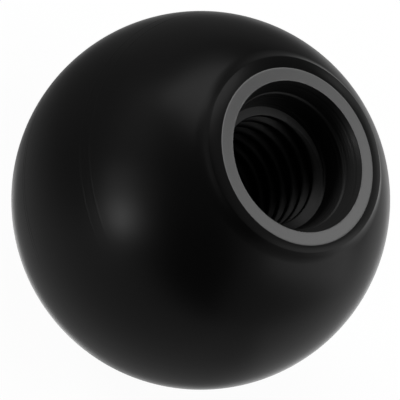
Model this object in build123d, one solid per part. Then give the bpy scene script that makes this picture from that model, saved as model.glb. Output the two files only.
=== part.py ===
"""Ball knob: a ball moulded in one piece with a short collar, and a blind threaded hole down its axis.

It stands with the hole up. The lowest point of the ball is at the origin and the hole's axis is Z.
"""
from build123d import *
import os
from math import radians, sqrt, tan

# Ball
ball_diameter = 30.0

# Thread, ISO metric coarse
thread_diameter = 10.0
thread_pitch = 1.5
hole_depth = 16.0  # from the machined face to the flat bottom
bottom_corner_radius = 0.8

# Mouth of the hole, above the thread
relief_clearance = 0.31  # room round the stud's thread, each side, at the top of the relief
relief_draft = 8.3  # taper of the relief's wall, in degrees
relief_depth = 3.72  # from the machined face to the flat shoulder where the thread begins
mouth_chamfer_width = 0.64
mouth_chamfer_depth = 1.38

# Collar round the mouth
face_width = 1.05  # machined ring, from the mouth's edge outwards
band_width = 0.9  # moulded ring outside it
band_slope = 25.0  # fall of the moulded ring towards its edge, in degrees
collar_rise = 0.335  # from the ball's surface up to the collar's edge
collar_edge_radius = 0.15
collar_fillet_radius = 0.25

# Radii and heights that follow from the sizes above
ball_radius = ball_diameter / 2
minor_radius = (thread_diameter - thread_pitch) / 2  # as the usual tapping drill leaves it
relief_top_radius = thread_diameter / 2 + relief_clearance
mouth_radius = relief_top_radius + mouth_chamfer_width
face_radius = mouth_radius + face_width
collar_radius = face_radius + band_width
collar_foot_z = ball_radius + sqrt(ball_radius**2 - collar_radius**2)
collar_edge_z = collar_foot_z + collar_rise
face_z = collar_edge_z + band_width * tan(radians(band_slope))
relief_top_z = face_z - mouth_chamfer_depth
shoulder_z = face_z - relief_depth
relief_radius = relief_top_radius - (relief_top_z - shoulder_z) * tan(radians(relief_draft))
bottom_z = face_z - hole_depth


def half_section():
    """The solid side of the section, right of the axis, in the XZ plane."""
    with BuildSketch(Plane.XZ) as section:
        with BuildLine():
            ThreePointArc((0, 0), (ball_radius, ball_radius), (collar_radius, collar_foot_z))
            Polyline(
                (collar_radius, collar_foot_z),
                (collar_radius, collar_edge_z),
                (face_radius, face_z),
                (mouth_radius, face_z),
                (relief_top_radius, relief_top_z),
                (relief_radius, shoulder_z),
                (minor_radius, shoulder_z),
                (minor_radius, bottom_z),
                (0, bottom_z),
                (0, 0),
            )
        make_face()
        fillet(corner_at(section, collar_radius, collar_foot_z), collar_fillet_radius)
        fillet(corner_at(section, collar_radius, collar_edge_z), collar_edge_radius)
        fillet(corner_at(section, minor_radius, bottom_z), bottom_corner_radius)
    return section.sketch


def corner_at(section, radius, height):
    """The section's corner nearest to a radius and a height."""
    return section.vertices().sort_by_distance(Vector(radius, height))[0]


def ball_knob():
    """The whole knob, turned about the hole's axis."""
    return revolve(half_section(), Axis.Z)


os.makedirs("parts", exist_ok=True)
export_step(ball_knob(), "parts/ball_knob.step")
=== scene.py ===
"""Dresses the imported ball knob: its surface with the thread cut in, its finish, and the photo's light."""
import math

import bmesh
import bpy
from mathutils import Matrix, Quaternion, Vector


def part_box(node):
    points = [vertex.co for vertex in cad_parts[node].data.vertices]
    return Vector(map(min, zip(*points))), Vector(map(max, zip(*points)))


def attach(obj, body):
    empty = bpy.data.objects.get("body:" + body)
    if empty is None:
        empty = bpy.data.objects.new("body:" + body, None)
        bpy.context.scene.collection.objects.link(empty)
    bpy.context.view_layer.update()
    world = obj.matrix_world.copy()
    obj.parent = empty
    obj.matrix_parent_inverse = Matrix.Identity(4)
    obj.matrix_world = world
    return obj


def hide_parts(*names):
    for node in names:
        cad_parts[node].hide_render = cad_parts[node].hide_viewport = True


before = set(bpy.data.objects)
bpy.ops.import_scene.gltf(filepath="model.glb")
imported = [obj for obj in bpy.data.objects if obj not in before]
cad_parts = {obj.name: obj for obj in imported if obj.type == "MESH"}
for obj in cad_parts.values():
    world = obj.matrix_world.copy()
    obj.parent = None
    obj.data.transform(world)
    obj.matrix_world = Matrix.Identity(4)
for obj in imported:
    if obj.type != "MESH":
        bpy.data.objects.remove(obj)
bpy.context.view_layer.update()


# The knob is moulded in one piece from black thermosetting plastic: ball, low collar and wall of the hole.
# Its thread is right-handed, M10 by 1.5. After moulding, the top of the collar was faced off on a lathe,
# which left a dull grey ring round the hole's mouth.
MM = 0.001
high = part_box("ball_knob")[1]
ball_radius = high.x
face_z = high.z
ball_centre = Vector((0, 0, ball_radius))

face_width = 1.05 * MM
band_width = 0.9 * MM
band_slope = math.tan(math.radians(28))
mouth_radius = 5.95 * MM
mouth_rounding = 0.03 * MM
face_radius = mouth_radius + face_width
collar_radius = face_radius + band_width
collar_edge_z = face_z - band_width * band_slope
collar_edge_rounding = 0.06 * MM
collar_foot_radius = collar_radius + 0.45 * MM
collar_foot_rounding = 0.4 * MM
collar_foot_angle = math.acos(collar_foot_radius / ball_radius)
feed_marks = 7  # sloping cuts that the facing tool left across the ring
feed_mark_depth = 0.012 * MM
feed_mark_wall = 0.03 * MM  # width of each cut's steep side

relief_top_radius = 5.36 * MM
relief_top_z = face_z - 1.6 * MM
ledge_radius = relief_top_radius + 0.15 * MM  # little sloping step where the countersink ends
ledge_z = relief_top_z + 0.12 * MM
ledge_rounding = 0.07 * MM
relief_cut_z = face_z - 2.2 * MM  # where the countersink's mesh meets the thread's
shoulder_z = face_z - 3.72 * MM
relief_slope = math.tan(math.radians(10.4))
bottom_z = face_z - 16.0 * MM
bottom_corner = 0.8 * MM

thread_pitch = 1.5 * MM
crest_radius = 4.25 * MM
root_radius = 5.1 * MM
flank_slope = math.tan(math.radians(30))
flank_length = (root_radius - crest_radius) * flank_slope
root_flat = 0.07 * MM
crest_rounding = 0.03 * MM
groove_z = face_z - 3.8 * MM  # middle of one turn of the groove, on the +X side
lead_rounding = 0.1 * MM
thread_end_z = bottom_z + 1.2 * MM
runout = 1.2 * MM
spare_turns = 2  # cut off again below the thread's end
trim = 0.1 * MM

segments = 192
ball_rows = 80
rows_per_pitch = 24
same_point = 1e-7  # metres
same_ring = 1e-6


def lathe(bm, outline):
    """Turns a list of (radius, height) points about the hole's axis."""
    verts = [bm.verts.new((radius, 0, height)) for radius, height in outline]
    edges = [bm.edges.new(pair) for pair in zip(verts, verts[1:])]
    bmesh.ops.spin(
        bm, geom=verts + edges, cent=(0, 0, 0), axis=(0, 0, 1), dvec=(0, 0, 0),
        angle=2 * math.pi, steps=segments, use_merge=True, use_duplicate=False,
    )


def round_ring(bm, radius, height, size, steps):
    """Rounds the turned edge that lies at a radius and a height."""
    def on(vert):
        return abs(vert.co.xy.length - radius) < same_ring and abs(vert.co.z - height) < same_ring
    ring = [edge for edge in bm.edges if on(edge.verts[0]) and on(edge.verts[1])]
    bmesh.ops.bevel(
        bm, geom=ring, offset=size, offset_type="OFFSET", affect="EDGES",
        segments=steps, profile=0.5, material=-1, clamp_overlap=True,
    )


def relief_wall(height):
    """Radius of the tapered wall between the countersink and the shoulder."""
    return relief_top_radius - (relief_top_z - height) * relief_slope


def thread_wall(height):
    """Radius of the thread's wall on the +X side, with its corners slightly rounded."""
    def sharp(z):
        off = abs((z - groove_z + thread_pitch / 2) % thread_pitch - thread_pitch / 2)
        depth = (root_flat / 2 + flank_length - off) / flank_slope
        return crest_radius + min(max(depth, 0), root_radius - crest_radius)
    return sum(sharp(height + step * crest_rounding) for step in (-1, -0.5, 0, 0.5, 1)) / 5


bm = bmesh.new()
ball_points = []
for row in range(ball_rows + 1):
    angle = -math.pi / 2 + (collar_foot_angle + math.pi / 2) * row / ball_rows
    ball_points.append((ball_radius * math.cos(angle), ball_radius + ball_radius * math.sin(angle)))
foot_z = ball_points[-1][1]
faced_points = []
for mark in range(feed_marks, 0, -1):
    inner = mouth_radius + face_width * (mark - 1) / feed_marks
    outer = mouth_radius + face_width * mark / feed_marks
    faced_points += [(outer, face_z - feed_mark_depth), (inner + feed_mark_wall, face_z)]
faced_points[0] = (face_radius, face_z - feed_mark_depth)
lathe(bm, ball_points + [(collar_radius, collar_edge_z)] + faced_points + [
    (mouth_radius, face_z),
    (ledge_radius, ledge_z),
    (relief_top_radius, relief_top_z),
    (relief_wall(relief_cut_z), relief_cut_z),
])
lathe(bm, [(crest_radius, thread_end_z), (crest_radius, bottom_z), (0, bottom_z)])
bmesh.ops.remove_doubles(bm, verts=bm.verts, dist=same_point)
for radius, height, size, steps in (
    (collar_foot_radius, foot_z, collar_foot_rounding, 6),
    (collar_radius, collar_edge_z, collar_edge_rounding, 4),
    (crest_radius, bottom_z, bottom_corner, 4),
    (mouth_radius, face_z, mouth_rounding, 2),
    (relief_top_radius, relief_top_z, ledge_rounding, 3),
    (ledge_radius, ledge_z, ledge_rounding, 3),
):
    round_ring(bm, radius, height, size, steps)

# The moulded collar is a little oval and sits a little off the hole's axis, which was machined later.
collar_shift = Vector((-0.2 * MM, 0.33 * MM))
collar_stretch = Vector((0.983, 1.025))
fading = 4  # how fast the shift dies away down the ball


def ball_rise(across):
    """Height of the ball's surface above its centre, at that place beside the axis."""
    return math.sqrt(ball_radius**2 - across.length_squared)


for vert in bm.verts:
    across = vert.co.xy
    height = vert.co.z
    if height > ball_radius and across.length > face_radius + same_ring:
        on_ball = abs((vert.co - ball_centre).length - ball_radius) < same_ring
        share = ((height - ball_radius) / (foot_z - ball_radius)) ** fading if on_ball else 1
        askew = Vector((across.x * collar_stretch.x, across.y * collar_stretch.y)) + collar_shift
        moved = across.lerp(askew, share)
        ball_change = ball_rise(moved) - ball_rise(across)
        band_change = (across.length - moved.length) * band_slope
        rise = 0 if on_ball else min(max((height - foot_z) / (collar_edge_z - foot_z), 0), 1)
        vert.co = (moved.x, moved.y, height + ball_change * (1 - rise) + band_change * rise)

thread = bmesh.new()
start_z = thread_end_z - spare_turns * thread_pitch
turns = math.ceil((relief_cut_z - start_z) / thread_pitch) + 1
points = []
for row in range(rows_per_pitch + 1):
    z = start_z + thread_pitch * row / rows_per_pitch
    points.append(thread.verts.new((thread_wall(z), 0, z)))
edges = [thread.edges.new(pair) for pair in zip(points, points[1:])]
bmesh.ops.spin(
    thread, geom=points + edges, cent=(0, 0, 0), axis=(0, 0, 1), dvec=(0, 0, thread_pitch / segments),
    angle=2 * math.pi, steps=segments, use_merge=False, use_duplicate=False,
)
one_turn = thread.verts[:] + thread.edges[:] + thread.faces[:]
for turn in range(1, turns):
    copy = bmesh.ops.duplicate(thread, geom=one_turn)["geom"]
    copied = [item for item in copy if isinstance(item, bmesh.types.BMVert)]
    bmesh.ops.translate(thread, verts=copied, vec=(0, 0, turn * thread_pitch))
bmesh.ops.remove_doubles(thread, verts=thread.verts, dist=same_ring)
cuts = [(relief_cut_z - trim, True, False), (thread_end_z + trim, False, True)]
cuts += [(shoulder_z - lead_rounding * share, False, False) for share in (1, 1 / 2, 1 / 8, 0)]
for height, above, below in cuts:
    cut = bmesh.ops.bisect_plane(
        thread, geom=thread.verts[:] + thread.edges[:] + thread.faces[:], dist=same_point,
        plane_co=(0, 0, height), plane_no=(0, 0, 1), clear_outer=above, clear_inner=below,
    )["geom_cut"]
shoulder_ring = [item for item in cut if isinstance(item, bmesh.types.BMEdge)]
bmesh.ops.split_edges(thread, edges=shoulder_ring)
for vert in thread.verts:
    radius = vert.co.xy.length
    height = vert.co.z
    fade = min(max((height - thread_end_z) / runout, 0), 1)
    wall = crest_radius + (radius - crest_radius) * fade
    if vert.link_faces[0].calc_center_median().z > shoulder_z:
        wall = max(wall, relief_wall(height))
    else:
        dip = max(lead_rounding - (shoulder_z - height), 0)
        wall = max(wall, crest_radius + lead_rounding - math.sqrt(lead_rounding**2 - dip**2))
    vert.co.xy *= wall / radius
lower_ring = [
    edge for edge in thread.edges
    if edge.is_boundary and edge.link_faces[0].calc_center_median().z < shoulder_z
    and abs(edge.verts[0].co.z - shoulder_z) + abs(edge.verts[1].co.z - shoulder_z) < same_point
]
shoulder = bmesh.ops.extrude_edge_only(thread, edges=lower_ring)["geom"]
for item in shoulder:
    if isinstance(item, bmesh.types.BMVert):
        item.co.xy *= max(relief_wall(shoulder_z) / item.co.xy.length, 1)
bmesh.ops.remove_doubles(thread, verts=thread.verts, dist=same_ring)
thread_mesh = bpy.data.meshes.new("thread")
thread.to_mesh(thread_mesh)
thread.free()
bm.from_mesh(thread_mesh)
bpy.data.meshes.remove(thread_mesh)

rims = [edge for edge in bm.edges if edge.is_boundary]
middle = (relief_cut_z + thread_end_z) / 2
for upper in (True, False):
    pair = [edge for edge in rims if (edge.verts[0].co.z > middle) == upper]
    bmesh.ops.bridge_loops(bm, edges=pair)
bmesh.ops.recalc_face_normals(bm, faces=bm.faces)
faced_slot, bored_slot, shoulder_slot = 1, 2, 3  # the moulded skin is slot 0
face_layer = 0.02 * MM
flat_layer = 0.01 * MM
crease = math.radians(30)
for face in bm.faces:
    face.smooth = True
    centre = face.calc_center_median()
    outside = centre.xy.length > mouth_radius + mouth_rounding
    if outside and centre.z > face_z - face_layer and centre.xy.length < face_radius:
        face.material_index = faced_slot
    elif not outside and centre.z > bottom_z - flat_layer:
        face.material_index = shoulder_slot if abs(centre.z - shoulder_z) < flat_layer else bored_slot
for edge in bm.edges:
    edge.smooth = edge.calc_face_angle(0) < crease
mesh = bpy.data.meshes.new("moulded_knob")
bm.to_mesh(mesh)
bm.free()
knob = bpy.data.objects.new("moulded_knob", mesh)
bpy.context.scene.collection.objects.link(knob)


class Value:
    """A socket of a material, with arithmetic that adds the Math nodes."""

    def __init__(self, nodes, socket):
        self.nodes = nodes
        self.socket = socket

    def join(self, operation, *values):
        return self.nodes.add("ShaderNodeMath", {"operation": operation}, *values)

    def __add__(self, other):
        return self.join("ADD", self, other)

    def __radd__(self, other):
        return self.join("ADD", other, self)

    def __sub__(self, other):
        return self.join("SUBTRACT", self, other)

    def __rsub__(self, other):
        return self.join("SUBTRACT", other, self)

    def __mul__(self, other):
        return self.join("MULTIPLY", self, other)

    def __rmul__(self, other):
        return self.join("MULTIPLY", other, self)

    def __truediv__(self, other):
        return self.join("DIVIDE", self, other)

    def __rtruediv__(self, other):
        return self.join("DIVIDE", other, self)

    def __abs__(self):
        return self.join("ABSOLUTE", self)

    def along(self, direction):
        """How far a vector reaches in a direction."""
        return self.nodes.add(
            "ShaderNodeVectorMath", {"operation": "DOT_PRODUCT"}, self, direction, output="Value"
        )

    def rise(self, start, end):
        """Goes smoothly from 0 at start to 1 at end."""
        return self.nodes.add(
            "ShaderNodeMapRange", {"interpolation_type": "SMOOTHSTEP"}, self, start, end, 0.0, 1.0
        )


class Nodes:
    """The node tree of a material or of the world."""

    def __init__(self, owner):
        owner.use_nodes = True
        self.tree = owner.node_tree
        self.tree.nodes.clear()

    def add(self, kind, settings, *values, output=0, **named):
        """A node with its settings, and the values or links of its sockets, by place or by name."""
        node = self.tree.nodes.new(kind)
        for name, setting in settings.items():
            setattr(node, name, setting)
        for place, value in list(enumerate(values)) + list(named.items()):
            socket = node.inputs[place if isinstance(place, int) else place.replace("_", " ")]
            if isinstance(value, Value):
                self.tree.links.new(value.socket, socket)
            else:
                socket.default_value = value
        return Value(self, node.outputs[output]) if node.outputs else None


moulded = bpy.data.materials.new("moulded_black")
nodes = Nodes(moulded)
place = nodes.add("ShaderNodeTexCoord", {}, output="Object")
height = place.along((0, 0, 1))
cloud = nodes.add("ShaderNodeTexNoise", {}, Vector=place, Scale=260, Detail=3)
grain = nodes.add("ShaderNodeTexNoise", {}, Vector=place, Scale=2200, Detail=2)
scuff = nodes.add("ShaderNodeTexNoise", {}, Vector=place, Scale=700, Detail=2)

# Fine moulding lines run round the ball, and can be made out on its -X side.
line_heights = (19.9 * MM, 20.75 * MM, 12.3 * MM, 12.65 * MM)
line_width = 0.12 * MM
lines = 0
for line_height in line_heights:
    line = 1 - abs(height - line_height) / line_width
    lines = lines + line.join("MAXIMUM", line, 0)
lines = lines * scuff * place.along((1, 0, 0)).rise(1 * MM, -3 * MM)
relief = nodes.add("ShaderNodeBump", {}, Strength=0.05, Distance=0.02 * MM, Height=grain)
relief = nodes.add("ShaderNodeBump", {}, Strength=1.0, Distance=0.012 * MM, Height=lines, Normal=relief)
shader = nodes.add(
    "ShaderNodeBsdfPrincipled", {}, Base_Color=(0.002, 0.002, 0.002, 1),
    Roughness=0.27 + cloud * 0.1 + lines * 0.2, Specular_IOR_Level=0.25, Normal=relief,
)
nodes.add("ShaderNodeOutputMaterial", {}, shader)

faced = bpy.data.materials.new("faced_grey")
nodes = Nodes(faced)
place = nodes.add("ShaderNodeTexCoord", {}, output="Object")
mottle = nodes.add("ShaderNodeTexNoise", {}, Vector=place, Scale=1500, Detail=3)
shader = nodes.add(
    "ShaderNodeBsdfPrincipled", {}, Base_Color=(0.12, 0.12, 0.12, 1),
    Roughness=0.5 + mottle * 0.15, Specular_IOR_Level=0.25,
)
nodes.add("ShaderNodeOutputMaterial", {}, shader)
mesh.materials.append(moulded)
mesh.materials.append(faced)

# The hole's walls were cut too, so they are duller than the moulded ball, and the flat shoulder in it is
# a little paler. A boring tool left fine rings in them, all at their own heights.
for name, grey in (("bored_black", 0.006), ("shoulder_black", 0.03)):
    bored = bpy.data.materials.new(name)
    nodes = Nodes(bored)
    place = nodes.add("ShaderNodeTexCoord", {}, output="Object")
    mottle = nodes.add("ShaderNodeTexNoise", {}, Vector=place, Scale=1200, Detail=2)
    rings = nodes.add(
        "ShaderNodeTexNoise", {"noise_dimensions": "1D"}, W=place.along((0, 0, 1)), Scale=3000, Detail=1
    )
    marks = nodes.add("ShaderNodeBump", {}, Strength=0.6, Distance=0.05 * MM, Height=rings)
    shader = nodes.add(
        "ShaderNodeBsdfPrincipled", {}, Base_Color=(grey, grey, grey, 1),
        Roughness=0.34 + mottle * 0.1, Specular_IOR_Level=0.3, Normal=marks,
    )
    nodes.add("ShaderNodeOutputMaterial", {}, shader)
    mesh.materials.append(bored)
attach(knob, "root")
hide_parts("ball_knob")


# The floor is a sheet of matt paper, plain white to the camera, as in the photograph.
# In the knob's polish it glows much dimmer, and that glow is painted light and shade: painted shade on the
# left, and a painted bright oval just behind the ball, which gives the ball its light rim.
floor_size = 1.5
floor_mesh = bpy.data.meshes.new("floor")
bm = bmesh.new()
bmesh.ops.create_grid(bm, x_segments=1, y_segments=1, size=floor_size)
bm.to_mesh(floor_mesh)
bm.free()
floor = bpy.data.objects.new("floor", floor_mesh)
bpy.context.scene.collection.objects.link(floor)
paper = bpy.data.materials.new("white_paper")
nodes = Nodes(paper)
seen = nodes.add("ShaderNodeLightPath", {}, output="Is Camera Ray")
glossy = nodes.add("ShaderNodeLightPath", {}, output="Is Glossy Ray")
through = nodes.add("ShaderNodeLightPath", {}, output="Is Transmission Ray")
plain = nodes.add("ShaderNodeBsdfDiffuse", {}, Color=(0.05, 0.05, 0.05, 1))
spot = nodes.add("ShaderNodeTexCoord", {}, output="Object")


def out_from(across, along, middle):
    """How far a spot lies from the middle of an oval behind the ball, where 1 is the oval's rim."""
    scaled = nodes.add(
        "ShaderNodeVectorMath", {"operation": "MULTIPLY_ADD"}, spot, (1 / across, 1 / along, 0),
        (0, -middle / along, 0), output="Vector",
    )
    return nodes.add("ShaderNodeVectorMath", {"operation": "LENGTH"}, scaled, output="Value")


room_glow = 0.24
paper_white = 0.95
leftward = spot.along((-1, 0, 0)).rise(0, 30 * MM)
rightward = spot.along((1, 0, 0)).rise(3 * MM, 18 * MM)
back = spot.along((0, 1, 0))
behind = back.rise(0, 12 * MM)
front = back.rise(-3 * MM, -20 * MM)
nearest = back.rise(-6 * MM, -9 * MM)
inner = out_from(20.5 * MM, 27 * MM, 17 * MM)
outer = out_from(31.2 * MM, 45.5 * MM, 33 * MM)
oval = ((1 - outer) / (inner - outer)).rise(0, 1)
# Painted glow that the polish mirrors: a little brighter in front and behind, with painted shade towards the
# left.
painted_floor_glow = (room_glow + 0.08 * front + 0.22 * behind) * (1 - 0.85 * leftward)
# The painted bright oval behind the ball, brightest on its +X side and at its end nearest the camera.
painted_rim_glow = (0.35 + 0.8 * rightward + 1.2 * nearest) * oval
strength = paper_white * seen + (painted_floor_glow + painted_rim_glow) * (glossy + through)
glow = nodes.add("ShaderNodeEmission", {}, Color=(1, 1, 1, 1), Strength=strength)
both = nodes.add("ShaderNodeAddShader", {}, plain, glow)
nodes.add("ShaderNodeOutputMaterial", {}, both)
floor_mesh.materials.append(paper)


# The room is white to the camera as well. The knob stands in it as in a dim studio, darkest high up on the
# camera's side and low on the far left.
world = bpy.data.worlds.new("studio")
bpy.context.scene.world = world
nodes = Nodes(world)
seen = nodes.add("ShaderNodeLightPath", {}, output="Is Camera Ray")
towards = nodes.add("ShaderNodeTexCoord", {}, output="Generated")
near = towards.along((-0.14, -0.99, 0)).rise(0.15, 0.4)
above = towards.along((0.35, 0, 0.94)).rise(0.15, 0.4)
far = towards.along((-0.87, 0.5, 0)).rise(0.2, 0.6)
dim = room_glow - 0.22 * near * above - 0.2 * far
room = nodes.add("ShaderNodeBackground", {}, Color=(1, 1, 1, 1), Strength=dim + (1 - dim) * seen)
nodes.add("ShaderNodeOutputWorld", {}, room)


# The lamps are flat studio panels round the knob. Each but the two keys shows in the polish as a soft
# highlight. The keys light the faced ring.
def panel(name, distance, azimuth, elevation, width, height, radiance, glossy=True, lean=0):
    """An area lamp that looks at the ball's centre from a direction in the knob's own frame."""
    lamp = bpy.data.lights.new(name, "AREA")
    lamp.shape = "RECTANGLE"
    lamp.size = width
    lamp.size_y = height
    lamp.energy = radiance * math.pi * width * height
    round_z, up = math.radians(azimuth), math.radians(elevation)
    direction = Vector((math.cos(up) * math.cos(round_z), math.cos(up) * math.sin(round_z), math.sin(up)))
    turn = direction.to_track_quat("Z", "Y") @ Quaternion((0, 0, 1), math.radians(lean))
    light = bpy.data.objects.new(name, lamp)
    light.location = ball_centre + direction * distance
    light.rotation_euler = turn.to_euler()
    light.visible_glossy = glossy
    bpy.context.scene.collection.objects.link(light)


panel("upper_softbox", 0.6, azimuth=170.5, elevation=38, width=0.46, height=0.4, radiance=1.3)
panel("left_panel", 0.6, azimuth=202, elevation=15, width=0.4, height=0.26, radiance=0.25)
panel("side_softbox", 0.6, azimuth=260, elevation=-1.5, width=0.16, height=0.22, radiance=4.8)
panel("side_panel", 0.62, azimuth=252, elevation=-4, width=0.42, height=0.5, radiance=0.75)
panel("right_panel", 0.8, azimuth=30, elevation=30, width=0.4, height=0.95, radiance=0.8, lean=45)
panel("far_strip", 0.8, azimuth=101, elevation=6, width=0.14, height=0.1, radiance=1)
panel("key", 0.7, azimuth=60, elevation=60, width=0.4, height=0.4, radiance=3.3, glossy=False)
panel("low_key", 0.7, azimuth=195, elevation=12, width=0.3, height=0.1, radiance=90, glossy=False)


# The camera has a long lens, looks down at the hole's mouth, and is rolled so that the hole points right.
distance_in_radii = 17
picture_width = 400
sensor_width = 36  # millimetres
outline_radius = 189.5  # pixels, as are the next two
centre_x, centre_y = 200.7, 200.3
look_down = 52.95
roll = 65.6
focal_pixels = outline_radius * math.sqrt(distance_in_radii**2 - 1)
data = bpy.data.cameras.new("photo_camera")
data.sensor_width = sensor_width
data.lens = focal_pixels * sensor_width / picture_width
data.clip_start = 0.01
camera = bpy.data.objects.new("photo_camera", data)
tilt = Matrix.Rotation(math.radians(90 - look_down), 4, "X")
turn = tilt @ Matrix.Rotation(math.radians(roll), 4, "Z")
distance = distance_in_radii * ball_radius
pixel = distance / focal_pixels
offset = Vector(((picture_width / 2 - centre_x) * pixel, (centre_y - picture_width / 2) * pixel, distance))
camera.matrix_world = Matrix.Translation(ball_centre + turn @ offset) @ turn
bpy.context.scene.collection.objects.link(camera)
bpy.context.scene.camera = camera
bpy.context.scene.view_settings.view_transform = "Standard"
